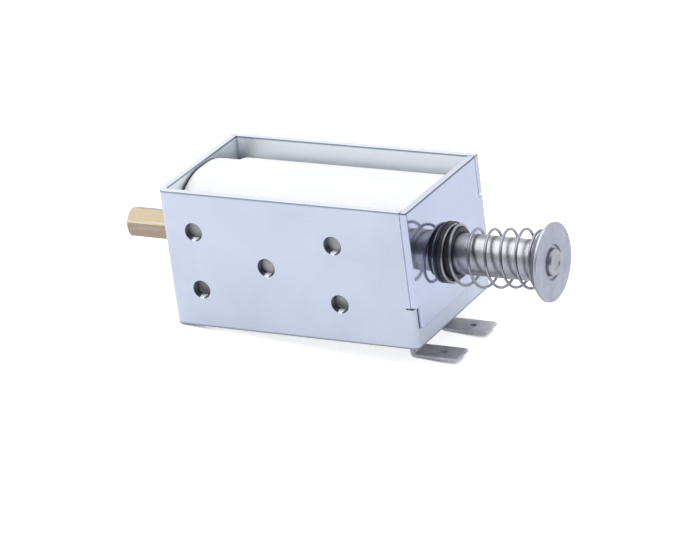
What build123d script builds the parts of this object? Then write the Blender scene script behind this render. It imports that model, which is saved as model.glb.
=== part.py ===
from build123d import *
import os

# Closing coil of a circuit breaker: a push solenoid in an open sheet frame.
# Millimetres, +Z up, +X along the plunger towards the return spring.
# The origin is the centre of the hole pattern, on the outer face of the front panel.

# Sheet frame
sheet = 1.8                # thickness of the frame's sheet
front_length = 67.0        # left face to the right end of the front panel
frame_width = 38.0         # front face to back face
frame_height = 35.5        # bottom edge to top rim
bend_radius = 2.4          # outside radius of the folded corner at the left
strap_bend = 1.4           # outside radius of the front finger's and strap's corner
edge_radius = 0.25         # rounding of the sheared edges on the outer side
finger_height = 10.4       # height of the fingers that lock the end plate
strap_height = 4.9         # height of the strap under the end plate
strap_inset = 1.0          # strap's outer face behind the end plate's outer face
tongue_height = 11.0       # height of the left wall's tongue in the back panel
slit = 0.4                 # open slit above the front finger and under the back one
slit_reach = 1.2           # how far the front slit runs into the front panel
seam = 0.12                # play between the sheets' edges
axis_drop = 0.25           # coil's axis below the middle of the frame
near = 0.01                # how close an edge or face lies to a place where it is picked

# Holes of the front panel, tapped M5
hole_radius = 2.1          # tapping radius
hole_chamfer = 0.3         # countersunk lip of each hole
hole_spacing_x = 38.6      # pattern, along the panel
hole_spacing_z = 15.2      # pattern, up the panel
pattern_from_left = 28.4   # pattern's centre from the left face
pattern_from_bottom = 17.6 # pattern's centre from the bottom edge

# Plunger and what it carries
plunger_radius = 5.0
plunger_length = 61.3      # inner end to the shoulder that the cap seats on
plunger_inner_end = 0.1    # inner end from the middle of the front panel
plunger_chamfer = 0.5
stroke = 12.0              # travel of the plunger
stop_play = 0.1            # gap left at the full stroke
spigot_radius = 3.3        # staked end of the plunger
spigot_length = 2.2
spigot_chamfer = 0.5
stake_radius = 2.0         # dimple in the staked end
stake_depth = 0.4
rod_radius = 2.0
rod_seat = 9.0             # depth of the rod in the plunger
rod_in_tip = 13.0          # depth of the rod in the tip
nut_across_flats = 7.0
nut_length = 3.0
tip_across_flats = 7.0
tip_length = 17.1
tip_chamfer = 0.9
tip_turn = -19.0           # turn of the tip's corners on the rod, degrees
nut_turn = -8.0            # turn of the nut's corners on the rod, degrees
nut_gap = 0.05             # nut to core head at rest

# Spring cap
cap_radius = 9.6
cap_rim = 0.7              # straight part of the rim
cap_rear_radius = 7.6      # rear face that the spring presses on
cap_depth = 2.6            # rear face to front face
cap_seat = 1.2             # depth of the plunger's shoulder in the cap
cap_recess_radius = 4.3    # shallow recess round the staked end
cap_recess_depth = 0.7

# Return spring
wire_radius = 0.36
spring_radius = 7.0        # mean radius of the coils
spring_turns = 5.5

# Guide collar, black nylon
collar_radius = 6.2
collar_flange_radius = 7.5
collar_flange = 0.9        # thickness of the flange on the end plate
collar_nose = 2.1          # nose inside the spring
collar_tail = 1.0          # tail past the end plate into the bobbin
running_gap = 0.08         # radial play of a running fit
press_gap = 0.02           # radial play of a seated fit

# Coil
bobbin_wall = 1.2          # wall of the bobbin's tube
flange = 1.6               # thickness of a flange
wire_channel = 5.3         # channel between the two right-hand flanges
block_width = 24.0         # block that holds the terminals
block_top = 10.0           # top of the block above the frame's bottom edge
sleeve_wall = 0.5
end_washer = 0.3           # fibre washer at each end
end_washer_inset = 3.5     # washer's edge inside the flange's edge
winding_inset = 0.6        # winding's outside under the flange's edge
winding_end_gap = 0.15     # winding to flange
film = 0.2                 # thickness of the insulating film
film_gap = 0.05
wrap_seat = 0.1            # inner wrap to flange rim
wrap_wall = 0.98           # inner wrap over the flanges, where it is thinnest
wrap_gap = 0.12            # outer wrap to the frame's panels
wrap_step = 0.2            # outer wrap over the inner one, on the flats
wrap_flat = 3.2            # half of the flat at the side of the outer wrap
inner_wrap_flat = 1.7      # half of the flat at the side of the inner wrap
wrap_shown = 7.8           # length of inner wrap that shows at the left end
wrap_edge = 0.5            # rounding of the wraps' ends
wrap_bottom_gap = 0.15     # outer wrap above the frame's bottom edge

# Fixed core
core_head = 0.9            # riveted head outside the left wall
core_head_radius = 5.6
core_spigot_radius = 4.3
washer_thickness = 0.4     # residual washer
washer_radius = 4.6

# Terminals, 6.3 by 0.8 tabs
tab_width = 6.3
tab_thickness = 0.8
tab_spacing = 15.7         # between the two tabs' centre lines
tab_drop = 5.3             # frame's bottom edge to the top of the tab
leg_inset = 1.3            # leg's middle from the channel's left side
tab_reach = 12.2           # leg's middle to the tip of the tab
tab_hole_radius = 0.75
tab_hole_from_tip = 5.0
tab_tip_chamfer = 0.4
tab_bend = 0.4             # inside radius of the bend
leg_top = 12.0             # top of the leg above the frame's bottom edge
leg_play = 0.04            # leg in the block's slot
window_gap = 0.4           # leg in the wrap's window
strap_gap = 0.15           # coil to the strap
lead_radius = 0.3
solder_radius = 0.75
solder_length = 0.7
lead_below_leg_top = 0.9   # lead's place under the leg's top

# Places that follow from the sizes
x_left = -pattern_from_left
x_right = x_left + front_length
x_middle = x_left + front_length / 2
x_face = x_right + sheet
x_strap = x_face - strap_inset
y_back = frame_width
z_bottom = -pattern_from_bottom
z_top = z_bottom + frame_height
axis_y = frame_width / 2
axis_z = z_bottom + frame_height / 2 - axis_drop
finger_top = z_bottom + finger_height
strap_top = z_bottom + strap_height

outer_half_width = frame_width / 2 - sheet - wrap_gap
outer_half_height = frame_height / 2 - axis_drop - wrap_bottom_gap
inner_half_width = outer_half_width - wrap_step
inner_half_height = outer_half_height - wrap_step
wrap_corner = min(outer_half_width, outer_half_height) - wrap_flat
inner_wrap_corner = min(inner_half_width, inner_half_height) - inner_wrap_flat

bobbin_left = x_left + sheet + end_washer
bobbin_right = x_right - end_washer
bobbin_radius = min(inner_half_width, inner_half_height) - wrap_wall - wrap_seat
end_washer_radius = bobbin_radius - end_washer_inset
winding_radius = bobbin_radius - winding_inset
tube_inner = plunger_radius + running_gap + sleeve_wall + press_gap
tube_outer = tube_inner + bobbin_wall
channel_right = bobbin_right - flange
channel_left = channel_right - wire_channel
winding_left = bobbin_left + flange + winding_end_gap
winding_right = channel_left - flange - winding_end_gap
sleeve_right = x_right - collar_tail - end_washer

plunger_left = x_middle + plunger_inner_end
shoulder = plunger_left + plunger_length
core_face = plunger_left - stroke - stop_play - washer_thickness
head_left = x_left - core_head
nut_right = head_left - nut_gap
tip_right = nut_right - nut_length
tip_left = tip_right - tip_length
rod_left = tip_right - rod_in_tip

collar_face = x_face + collar_flange
cap_rear = shoulder - cap_seat
cap_front = cap_rear + cap_depth
leg_x = channel_left + leg_inset
tab_top = z_bottom - tab_drop
lead_z = z_bottom + leg_top - lead_below_leg_top


def slab(x0, x1, y0, y1, z0, z1):
    """A box between two corners."""
    return Pos((x0 + x1) / 2, (y0 + y1) / 2, (z0 + z1) / 2) * Box(x1 - x0, y1 - y0, z1 - z0)


def rod(radius, x0, x1, y=axis_y, z=axis_z):
    """A round bar along X."""
    upright = Cylinder(radius, x1 - x0, align=(Align.CENTER, Align.CENTER, Align.MIN))
    return Pos(x0, y, z) * Rot(0, 90, 0) * upright


def tube(outer, inner, x0, x1):
    """A round tube on the coil's axis."""
    return rod(outer, x0, x1) - rod(inner, x0, x1)


def turned(points):
    """A solid turned about the coil's axis, from points given as (x, radius)."""
    outline = make_face(Polyline(*points, close=True))
    return Pos(0, axis_y, axis_z) * revolve(outline, axis=Axis.X)


def hexagon(across_flats, x0, x1, turn):
    """A hexagonal bar along X, with one corner turned up from the front by some degrees."""
    face = RegularPolygon(across_flats / 2, 6, major_radius=False, rotation=30)
    return Pos(x0, axis_y, axis_z) * Rot(turn, 0, 0) * Rot(0, 90, 0) * extrude(face, x1 - x0)


def upright_edges(body, x, y):
    """The vertical edges of a body that stand at one place."""
    edges = body.edges().filter_by(Axis.Z)
    return edges.filter_by_position(Axis.X, x - near, x + near).filter_by_position(Axis.Y, y - near, y + near)


def round_rims(body):
    """Round the sheared edges at the top and the bottom of a sheet."""
    edges = body.edges()
    top = edges.filter_by_position(Axis.Z, z_top - near, z_top + near)
    bottom = edges.filter_by_position(Axis.Z, z_bottom - near, z_bottom + near)
    return fillet(top + bottom, edge_radius)


def round_outer_face(body):
    """Round the edges of the end plate's outer face."""
    faces = body.faces().filter_by(GeomType.PLANE).filter_by_position(Axis.X, x_face - near, x_face + near)
    return fillet(faces.edges(), edge_radius)


def hole_places():
    """Centres of the five holes of the front panel, as (x, z)."""
    half_x = hole_spacing_x / 2
    half_z = hole_spacing_z / 2
    return [(-half_x, half_z), (half_x, half_z), (-half_x, -half_z), (half_x, -half_z), (0.0, 0.0)]


def panel_hole(x, z):
    """Cutter for one tapped hole with its lip."""
    drill = Rot(90, 0, 0) * Cylinder(hole_radius, 4 * sheet)
    lip = Rot(-90, 0, 0) * Cone(
        hole_radius + hole_chamfer, hole_radius, hole_chamfer, align=(Align.CENTER, Align.CENTER, Align.MIN)
    )
    return Pos(x, 0, z) * (drill + lip)


def make_front_frame():
    """Front panel and left wall folded from one sheet, with the end plate's finger and strap."""
    panel = slab(x_left, x_right, 0, sheet, z_bottom, z_top)
    wall = slab(x_left, x_left + sheet, 0, y_back - sheet, z_bottom, z_top)
    strap = slab(x_strap - sheet, x_strap, 0, y_back, z_bottom, strap_top)
    finger = slab(x_strap - sheet, x_strap, 0, sheet, z_bottom, finger_top)
    body = panel + wall + strap + finger
    body = fillet(upright_edges(body, x_left, 0), bend_radius)
    body = fillet(upright_edges(body, x_left + sheet, sheet), bend_radius - sheet)
    body = round_rims(fillet(upright_edges(body, x_strap, 0), strap_bend))
    tongue_bottom = axis_z - tongue_height / 2
    tongue = slab(x_left, x_left + sheet, y_back - sheet, y_back, tongue_bottom, tongue_bottom + tongue_height)
    body = body + tongue
    body = body - slab(x_right - slit_reach, x_right + slit, -sheet, 2 * sheet, finger_top, finger_top + slit)
    for x, z in hole_places():
        body = body - panel_hole(x, z)
    return body - rod(core_spigot_radius + press_gap, x_left - sheet, x_left + 2 * sheet)


def strap_room(play):
    """Room for the strap, larger than it by some play."""
    left = x_strap - sheet - play
    return slab(left, x_face + sheet, -sheet, y_back + sheet, z_bottom - sheet, strap_top + play)


def make_back_panel():
    """Flat back panel with its finger at the top and the notch for the left wall's tongue."""
    panel = slab(x_left, x_right, y_back - sheet, y_back, z_bottom, z_top)
    finger = slab(x_right, x_face, y_back - sheet, y_back, z_top - finger_height, z_top)
    half_notch = tongue_height / 2 + seam
    notch = slab(
        x_left - sheet, x_left + sheet + seam, 0, y_back + sheet, axis_z - half_notch, axis_z + half_notch
    )
    body = panel + finger
    return round_rims(body) - notch - strap_room(seam)


def make_end_plate():
    """Flat plate that closes the magnetic path at the plunger's end."""
    plate = slab(x_right, x_face, 0, y_back, strap_top + seam, z_top)
    front_notch = slab(x_left, x_face + sheet, -sheet, sheet + seam, z_bottom, finger_top + slit)
    back_notch = slab(
        x_left, x_face + sheet, y_back - sheet - seam, y_back + sheet, z_top - finger_height - slit, z_top + sheet
    )
    plate = round_outer_face(plate - front_notch - back_notch)
    return plate - rod(collar_radius + press_gap, x_right - sheet, x_face + sheet)


def terminal_centres():
    """Places of the two terminals across the frame."""
    return [axis_y - tab_spacing / 2, axis_y + tab_spacing / 2]


def leg_slot(y, play):
    """Room for one terminal's leg, larger than it by some play all round."""
    half_width = tab_width / 2 + play
    half_thick = tab_thickness / 2 + play
    return slab(leg_x - half_thick, leg_x + half_thick, y - half_width, y + half_width, tab_top, axis_z)


def make_bobbin():
    """Nylon bobbin with a wire channel at the right and a block that grips the terminals."""
    body = rod(tube_outer, bobbin_left, bobbin_right)
    body += rod(bobbin_radius, bobbin_left, bobbin_left + flange)
    body += rod(bobbin_radius, channel_left - flange, channel_left)
    body += rod(bobbin_radius, channel_right, bobbin_right)
    block = slab(
        channel_left, channel_right, axis_y - block_width / 2, axis_y + block_width / 2,
        z_bottom, z_bottom + block_top
    )
    body += block & rod(bobbin_radius, channel_left, channel_right)
    body -= rod(tube_inner, bobbin_left, bobbin_right)
    body -= rod(collar_radius + running_gap, sleeve_right, bobbin_right)
    for y in terminal_centres():
        body -= leg_slot(y, leg_play)
        body -= rod(lead_radius + leg_play, channel_left - flange, channel_left, y, lead_z)
    return body - strap_room(strap_gap)


def make_winding():
    """Copper winding between the flanges."""
    return tube(winding_radius, tube_outer + film_gap, winding_left, winding_right)


def make_winding_film():
    """Insulating film round the winding."""
    inner = winding_radius + film_gap
    return tube(inner + film, inner, winding_left, winding_right)


def wrap_section(half_width, half_height, corner, x0, x1):
    """A bar along X with the coil's rounded section."""
    face = RectangleRounded(2 * half_height, 2 * half_width, corner)
    return Pos(x0, axis_y, axis_z) * Rot(0, 90, 0) * extrude(face, x1 - x0)


def make_inner_wrap():
    """Tape over the bobbin's flanges, from end to end."""
    body = wrap_section(inner_half_width, inner_half_height, inner_wrap_corner, bobbin_left, bobbin_right)
    body = fillet(body.faces().sort_by(Axis.X)[0].edges(), wrap_edge)
    body -= rod(bobbin_radius + wrap_seat, bobbin_left, bobbin_right)
    for y in terminal_centres():
        body -= leg_slot(y, window_gap)
    return body - strap_room(strap_gap)


def make_coil_wrap():
    """Outer layer of tape, which stops short of the left end."""
    left = bobbin_left + wrap_shown
    body = wrap_section(outer_half_width, outer_half_height, wrap_corner, left, bobbin_right)
    body = fillet(body.faces().sort_by(Axis.X)[0].edges(), wrap_edge / 2)
    body -= wrap_section(inner_half_width, inner_half_height, inner_wrap_corner, left, bobbin_right)
    for y in terminal_centres():
        body -= leg_slot(y, window_gap)
    return body - strap_room(strap_gap)


def make_guide_sleeve():
    """Brass tube that the plunger runs in."""
    inner = plunger_radius + running_gap
    return tube(inner + sleeve_wall, inner, bobbin_left, sleeve_right)


def make_guide_collar():
    """Black flanged bush in the end plate, with a nose inside the spring."""
    body = rod(collar_flange_radius, x_face, collar_face)
    body += rod(collar_radius, x_right - collar_tail, collar_face + collar_nose)
    body = fillet(body.edges().filter_by(GeomType.CIRCLE).sort_by(Axis.X)[-1], edge_radius)
    return body - rod(plunger_radius + running_gap, x_right - collar_tail, collar_face + collar_nose)


def make_end_washer(x0):
    """Fibre washer between the bobbin and the frame."""
    return tube(end_washer_radius, collar_radius + running_gap, x0, x0 + end_washer)


def make_fixed_core():
    """Pole piece, riveted into the left wall, with a hole for the push rod."""
    core = rod(plunger_radius, x_left + sheet, core_face)
    spigot = rod(core_spigot_radius, head_left, x_left + sheet)
    head = rod(core_head_radius, head_left, x_left)
    head = fillet(head.edges().filter_by(GeomType.CIRCLE).sort_by(Axis.X)[0], core_head / 2)
    return core + spigot + head - rod(rod_radius + running_gap, head_left, core_face)


def make_residual_washer():
    """Brass washer on the core's face."""
    return tube(washer_radius, rod_radius + running_gap, core_face, core_face + washer_thickness)


def make_plunger():
    """Plunger with its staked spigot and the seat of the push rod."""
    body = rod(plunger_radius, plunger_left, shoulder)
    body = chamfer(body.edges().filter_by(GeomType.CIRCLE).sort_by(Axis.X)[0], plunger_chamfer)
    spigot = rod(spigot_radius, shoulder, shoulder + spigot_length)
    spigot = chamfer(spigot.edges().filter_by(GeomType.CIRCLE).sort_by(Axis.X)[-1], spigot_chamfer)
    dimple = rod(stake_radius, shoulder + spigot_length - stake_depth, shoulder + spigot_length)
    return body + spigot - dimple - rod(rod_radius + press_gap, plunger_left, plunger_left + rod_seat)


def make_push_rod():
    """Steel rod from the plunger to the tip."""
    return rod(rod_radius, rod_left, plunger_left + rod_seat)


def chamfer_hexagon(body, across_flats, depth, x0, x1):
    """Turn the corners of a hexagonal bar down at its left end."""
    corner = across_flats / 3 ** 0.5
    cone = turned([(x0, 0), (x0, corner - 2 * depth), (x0 + depth, corner), (x1, corner), (x1, 0)])
    return body & cone


def make_lock_nut():
    """Nut that locks the tip and stops the plunger's way out."""
    body = hexagon(nut_across_flats, tip_right, nut_right, nut_turn)
    return body - rod(rod_radius + press_gap, tip_right, nut_right)


def make_push_tip():
    """Brass hexagon that pushes the breaker's latch."""
    bar = hexagon(tip_across_flats, tip_left, tip_right, tip_turn)
    body = chamfer_hexagon(bar, tip_across_flats, tip_chamfer, tip_left, tip_right)
    return body - rod(rod_radius + press_gap, rod_left, tip_right)


def make_spring_cap():
    """Dished disc on the plunger's shoulder, which the spring pushes outwards."""
    body = turned([
        (cap_rear, 0), (cap_rear, cap_rear_radius), (cap_front - cap_rim, cap_radius),
        (cap_front, cap_radius), (cap_front, 0)
    ])
    body -= rod(plunger_radius + press_gap, cap_rear, shoulder)
    body -= rod(spigot_radius + press_gap, shoulder, cap_front)
    body -= rod(cap_recess_radius, cap_front - cap_recess_depth, cap_front)
    rim = body.edges().filter_by(GeomType.CIRCLE).sort_by(lambda edge: edge.radius)[-2:]
    return fillet(rim, edge_radius / 2)


def make_return_spring():
    """Compression spring with ends ground flat on the collar and the cap."""
    run = cap_rear - collar_face
    helix = Helix(pitch=run / spring_turns, height=run, radius=spring_radius)
    section = Plane(origin=helix @ 0, z_dir=helix % 0) * Circle(wire_radius)
    coil = Pos(collar_face, axis_y, axis_z) * Rot(0, 90, 0) * sweep(section, path=helix, is_frenet=True)
    return coil & rod(spring_radius + 2 * wire_radius, collar_face, cap_rear)


def make_terminal(y):
    """Flat tab with its leg, folded from one strip."""
    outer = tab_bend + tab_thickness
    leg_left = leg_x - tab_thickness / 2
    tab_bottom = tab_top - tab_thickness
    tip = leg_x + tab_reach
    half = tab_width / 2
    leg = slab(leg_left, leg_left + tab_thickness, y - half, y + half, tab_bottom, z_bottom + leg_top)
    tab = slab(leg_left, tip, y - half, y + half, tab_bottom, tab_top)
    tip_edges = tab.edges().filter_by(Axis.Z).filter_by_position(Axis.X, tip - near, tip + near)
    tab = chamfer(tip_edges, tab_tip_chamfer)
    body = leg + tab
    cross = body.edges().filter_by(Axis.Y)
    heel = cross.filter_by_position(Axis.X, leg_left - near, leg_left + near)
    body = fillet(heel.filter_by_position(Axis.Z, tab_bottom - near, tab_bottom + near), outer)
    inside = body.edges().filter_by(Axis.Y).filter_by_position(Axis.Z, tab_top - near, tab_top + near)
    inner_x = leg_left + tab_thickness
    body = fillet(inside.filter_by_position(Axis.X, inner_x - near, inner_x + near), tab_bend)
    hole = Pos(tip - tab_hole_from_tip, y, tab_top) * Cylinder(tab_hole_radius, 4 * tab_thickness)
    return body - hole


def lead_end():
    """Where the leads stop, against the legs."""
    return leg_x - tab_thickness / 2


def make_lead(y):
    """End of the winding wire, through the inner flange to the leg."""
    return rod(lead_radius, winding_right, lead_end(), y, lead_z)


def make_solder_joints():
    """Collar of solder round each lead, on its leg."""
    joints = []
    for y in terminal_centres():
        blob = rod(solder_radius, lead_end() - solder_length, lead_end(), y, lead_z)
        first = blob.edges().filter_by(GeomType.CIRCLE).sort_by(Axis.X)[0]
        blob = fillet(first, solder_length / 2)
        joints.append(blob - rod(lead_radius + press_gap, winding_right, lead_end(), y, lead_z))
    return Compound(children=joints)


def make_parts():
    """Every piece by the name of its node."""
    front_y, back_y = terminal_centres()
    return {
        "front_frame": make_front_frame(),
        "back_panel": make_back_panel(),
        "end_plate": make_end_plate(),
        "bobbin": make_bobbin(),
        "winding": make_winding(),
        "winding_film": make_winding_film(),
        "inner_wrap": make_inner_wrap(),
        "coil_wrap": make_coil_wrap(),
        "guide_sleeve": make_guide_sleeve(),
        "guide_collar": make_guide_collar(),
        "left_end_washer": make_end_washer(x_left + sheet),
        "right_end_washer": make_end_washer(bobbin_right),
        "fixed_core": make_fixed_core(),
        "residual_washer": make_residual_washer(),
        "plunger": make_plunger(),
        "push_rod": make_push_rod(),
        "lock_nut": make_lock_nut(),
        "push_tip": make_push_tip(),
        "spring_cap": make_spring_cap(),
        "return_spring": make_return_spring(),
        "front_terminal": make_terminal(front_y),
        "back_terminal": make_terminal(back_y),
        "front_lead": make_lead(front_y),
        "back_lead": make_lead(back_y),
        "solder_joints": make_solder_joints(),
    }


os.makedirs("parts", exist_ok=True)
for name, shape in make_parts().items():
    export_step(shape, f"parts/{name}.step")
    print(name, round(shape.volume, 1))
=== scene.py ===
# %% [markdown]
# # The closing coil of a circuit breaker
# This lesson dresses a push solenoid: a taped coil in a folded sheet frame, a sprung plunger with a
# pressed cap, and a brass hexagon that pushes the latch. The construction comes packed as a fixed
# frame, so every new piece takes its place from that frame and nothing is moved to fit.

# %% Load the frame
import math

import bmesh
import bpy
from mathutils import Matrix, Vector, noise


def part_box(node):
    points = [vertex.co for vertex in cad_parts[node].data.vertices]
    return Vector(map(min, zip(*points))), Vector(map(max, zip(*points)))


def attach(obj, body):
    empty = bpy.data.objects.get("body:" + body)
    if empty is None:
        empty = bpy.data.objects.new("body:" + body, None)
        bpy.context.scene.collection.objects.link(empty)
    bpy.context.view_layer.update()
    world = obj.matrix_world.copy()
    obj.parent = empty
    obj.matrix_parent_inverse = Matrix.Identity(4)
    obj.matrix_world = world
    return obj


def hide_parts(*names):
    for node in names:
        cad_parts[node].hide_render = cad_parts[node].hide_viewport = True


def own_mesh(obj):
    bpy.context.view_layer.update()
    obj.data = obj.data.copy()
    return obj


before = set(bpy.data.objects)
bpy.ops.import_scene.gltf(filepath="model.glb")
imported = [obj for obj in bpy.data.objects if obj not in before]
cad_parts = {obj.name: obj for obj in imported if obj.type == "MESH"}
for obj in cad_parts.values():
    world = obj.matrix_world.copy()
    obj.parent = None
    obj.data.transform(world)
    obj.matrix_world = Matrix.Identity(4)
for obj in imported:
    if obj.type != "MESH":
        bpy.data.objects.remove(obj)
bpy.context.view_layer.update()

mm = 0.001

# %% [markdown]
# ## Places from the frame
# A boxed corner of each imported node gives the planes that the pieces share: the outer faces of the
# panels, the plate, the rims and the coil's axis. Only sizes that no box can tell, such as a wall or a
# radius, are written as numbers, in millimetres.

# %% Planes, axis and shared sizes
panel_low, panel_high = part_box("back_panel")
plate_low, plate_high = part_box("end_plate")
plunger_low, plunger_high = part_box("plunger")
x_left = panel_low.x
x_right = plate_low.x
x_face = plate_high.x
y_back = panel_high.y
z_bottom, z_top = panel_low.z, panel_high.z
sheet = x_face - x_right
axis = Vector((0.0, (plunger_low.y + plunger_high.y) / 2, (plunger_low.z + plunger_high.z) / 2))
print("sheet", round(sheet / mm, 2), "axis", [round(v / mm, 2) for v in axis])

# %% [markdown]
# ## Helpers for modelling
# Every operator acts on what is selected, so each piece starts with an empty selection. Faces and edges
# are then picked in code by their place or direction, which stands for clicking on them. A short helper
# applies each modifier at once, so that the next step works on the finished mesh.

# %% Selecting and applying
def only(obj):
    """Leaves edit mode and selects one object alone."""
    if bpy.context.object and bpy.context.object.mode == "EDIT":
        bpy.ops.object.mode_set(mode="OBJECT")
    bpy.ops.object.select_all(action="DESELECT")
    obj.select_set(True)
    bpy.context.view_layer.objects.active = obj


def edit(obj):
    """Opens one object in edit mode with nothing selected."""
    only(obj)
    bpy.ops.object.mode_set(mode="EDIT")
    bpy.ops.mesh.select_all(action="DESELECT")


def everything():
    """Selects all of the edited mesh."""
    bpy.ops.mesh.select_all(action="SELECT")


def pick(obj, kind, test):
    """Selects the faces or edges of the edited mesh that pass a test."""
    bpy.ops.mesh.select_all(action="DESELECT")
    bpy.ops.mesh.select_mode(type=kind)
    mesh = bmesh.from_edit_mesh(obj.data)
    parts = mesh.faces if kind == "FACE" else mesh.edges
    chosen = [part for part in parts if test(part)]
    for part in chosen:
        part.select_set(True)
    bmesh.update_edit_mesh(obj.data)
    return len(chosen)


def middle(part):
    """The middle of a face or an edge."""
    if isinstance(part, bmesh.types.BMFace):
        return part.calc_center_median()
    return (part.verts[0].co + part.verts[1].co) / 2


def faces_facing(obj, direction, test):
    """Selects the faces that look in one direction and whose middle passes a test."""
    aim = Vector(direction)
    return pick(obj, "FACE", lambda f: f.normal.dot(aim) > 0.99 and test(middle(f)))


def push(offset):
    """Extrudes what is selected by an offset."""
    bpy.ops.mesh.extrude_region_move(TRANSFORM_OT_translate={"value": tuple(offset)})


def slice_at(point, normal):
    """Cuts the whole edited mesh by a plane and keeps both sides."""
    everything()
    bpy.ops.mesh.bisect(plane_co=tuple(point), plane_no=tuple(normal), threshold=1e-7)


def modify(obj, kind, **settings):
    """Adds one modifier with its settings and applies it."""
    only(obj)
    made = obj.modifiers.new(kind.lower(), kind)
    for key, value in settings.items():
        setattr(made, key, value)
    bpy.ops.object.modifier_apply(modifier=made.name)


def primitive(operator, name, **settings):
    """Adds a primitive with nothing else selected, and names it."""
    bpy.ops.object.select_all(action="DESELECT")
    operator(**settings)
    obj = bpy.context.object
    obj.name = name
    return obj


def freeze():
    """Takes the selected object's place, turn and scale into its mesh."""
    bpy.ops.object.transform_apply(location=True, rotation=True, scale=True)


def block(name, low, high):
    """A box between two corners."""
    low, high = Vector(low), Vector(high)
    obj = primitive(bpy.ops.mesh.primitive_cube_add, name, size=1, location=(low + high) / 2)
    obj.scale = high - low
    freeze()
    return obj


def smooth(obj, angle=40):
    """Shades an object smooth where its faces meet at less than an angle."""
    only(obj)
    bpy.ops.object.shade_smooth_by_angle(angle=math.radians(angle))


def soften(obj, width, segments=2, angle=35, clamp=True):
    """Rounds the edges, and keeps the wide faces flat in the shading."""
    modify(obj, "BEVEL", width=width, segments=segments, limit_method="ANGLE",
           angle_limit=math.radians(angle), use_clamp_overlap=clamp, miter_outer="MITER_ARC")
    smooth(obj)


def cut(obj, cutters, operation="DIFFERENCE"):
    """Cuts an object with others, which are then removed."""
    for cutter in cutters:
        modify(obj, "BOOLEAN", object=cutter, operation=operation, solver="EXACT")
        bpy.data.objects.remove(cutter, do_unlink=True)


def clean(obj):
    """Joins loose corners and turns every face outwards."""
    edit(obj)
    everything()
    bpy.ops.mesh.remove_doubles(threshold=1e-7)
    bpy.ops.mesh.normals_make_consistent(inside=False)
    bpy.ops.object.mode_set(mode="OBJECT")


def seat(obj, body, slot, *nodes):
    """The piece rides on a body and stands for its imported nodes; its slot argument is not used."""
    modify(obj, "WEIGHTED_NORMAL", keep_sharp=True)
    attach(obj, body)
    if nodes:
        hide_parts(*nodes)
    print(obj.name, len(obj.data.polygons), "faces")


# %% [markdown]
# ## Turned pieces
# A lathe turns a bar against a tool that follows a profile. The same is done here: a plane is merged to
# one corner, the corner is extruded from point to point along the profile, and the line is spun about the
# coil's axis. A profile is a list of (distance along the axis, radius), in millimetres.

# %% A lathe
def drawn_line(name, points, closed):
    """A line of edges through the points, drawn by extruding one corner."""
    obj = primitive(bpy.ops.mesh.primitive_plane_add, name, size=mm, location=points[0])
    freeze()
    bpy.ops.object.mode_set(mode="EDIT")
    bpy.ops.mesh.select_mode(type="VERT")
    everything()
    bpy.ops.mesh.merge(type="CENTER")
    ends = list(points) + ([points[0]] if closed else [])
    for start, stop in zip(ends[:-1], ends[1:]):
        push(stop - start)
    everything()
    bpy.ops.mesh.remove_doubles(threshold=1e-7)
    return obj


def turned(name, profile, closed=False, steps=96):
    """A piece turned about the coil's axis, whose profile is closed or ends on the axis."""
    points = [Vector((x * mm, axis.y, axis.z + radius * mm)) for x, radius in profile]
    obj = drawn_line(name, points, closed)
    everything()
    bpy.ops.mesh.spin(steps=steps, angle=2 * math.pi, center=tuple(axis), axis=(1, 0, 0), dupli=False)
    everything()
    bpy.ops.mesh.remove_doubles(threshold=1e-7)
    clean(obj)
    return obj


# %% [markdown]
# ## Helpers for materials
# A colour is written as it looks on a screen and turned to the linear value that the shader needs. One
# small function adds a node, so a material reads as a list of its layers.

# %% Colour and nodes
def colour(text):
    """A colour written as sRGB hex, as linear values."""
    parts = [int(text[i:i + 2], 16) / 255 for i in (1, 3, 5)]
    linear = [p / 12.92 if p <= 0.04045 else ((p + 0.055) / 1.055) ** 2.4 for p in parts]
    return (*linear, 1.0)


def add_node(tree, kind, values=(), links=(), **settings):
    """Adds one node with its settings, the values of its inputs and the links into it."""
    made = tree.nodes.new(kind)
    for key, value in settings.items():
        setattr(made, key, value)
    for key, value in dict(values).items():
        made.inputs[key].default_value = value
    for key, socket in dict(links).items():
        tree.links.new(socket, made.inputs[key])
    return made


def new_material(name, **values):
    """A material with one principled shader, and its tree."""
    material = bpy.data.materials.new(name)
    material.use_nodes = True
    tree = material.node_tree
    tree.nodes.clear()
    inputs = {key.replace("_", " "): value for key, value in values.items()}
    shader = add_node(tree, "ShaderNodeBsdfPrincipled", inputs)
    add_node(tree, "ShaderNodeOutputMaterial", links={"Surface": shader.outputs[0]})
    return material, tree, shader


def place(tree, scale=(1, 1, 1), centre=(0, 0, 0)):
    """Object coordinates in metres, centred on a point and scaled."""
    source = add_node(tree, "ShaderNodeTexCoord")
    moved = add_node(tree, "ShaderNodeVectorMath", {1: tuple(centre)}, {0: source.outputs["Object"]},
                     operation="SUBTRACT")
    return add_node(tree, "ShaderNodeVectorMath", {1: tuple(scale)}, {0: moved.outputs[0]},
                    operation="MULTIPLY").outputs[0]


def calc(tree, operation, *items):
    """One step of arithmetic on numbers and sockets."""
    made = add_node(tree, "ShaderNodeMath", operation=operation)
    for slot, item in zip(made.inputs, items):
        if isinstance(item, (int, float)):
            slot.default_value = item
        else:
            tree.links.new(item, slot)
    return made.outputs[0]


def cloud(tree, vector, scale=1.0, detail=3.0, roughness=0.5):
    """Noise between 0 and 1 at some places."""
    return add_node(tree, "ShaderNodeTexNoise", {"Scale": scale, "Detail": detail, "Roughness": roughness},
                    {"Vector": vector}).outputs["Fac"]


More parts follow.
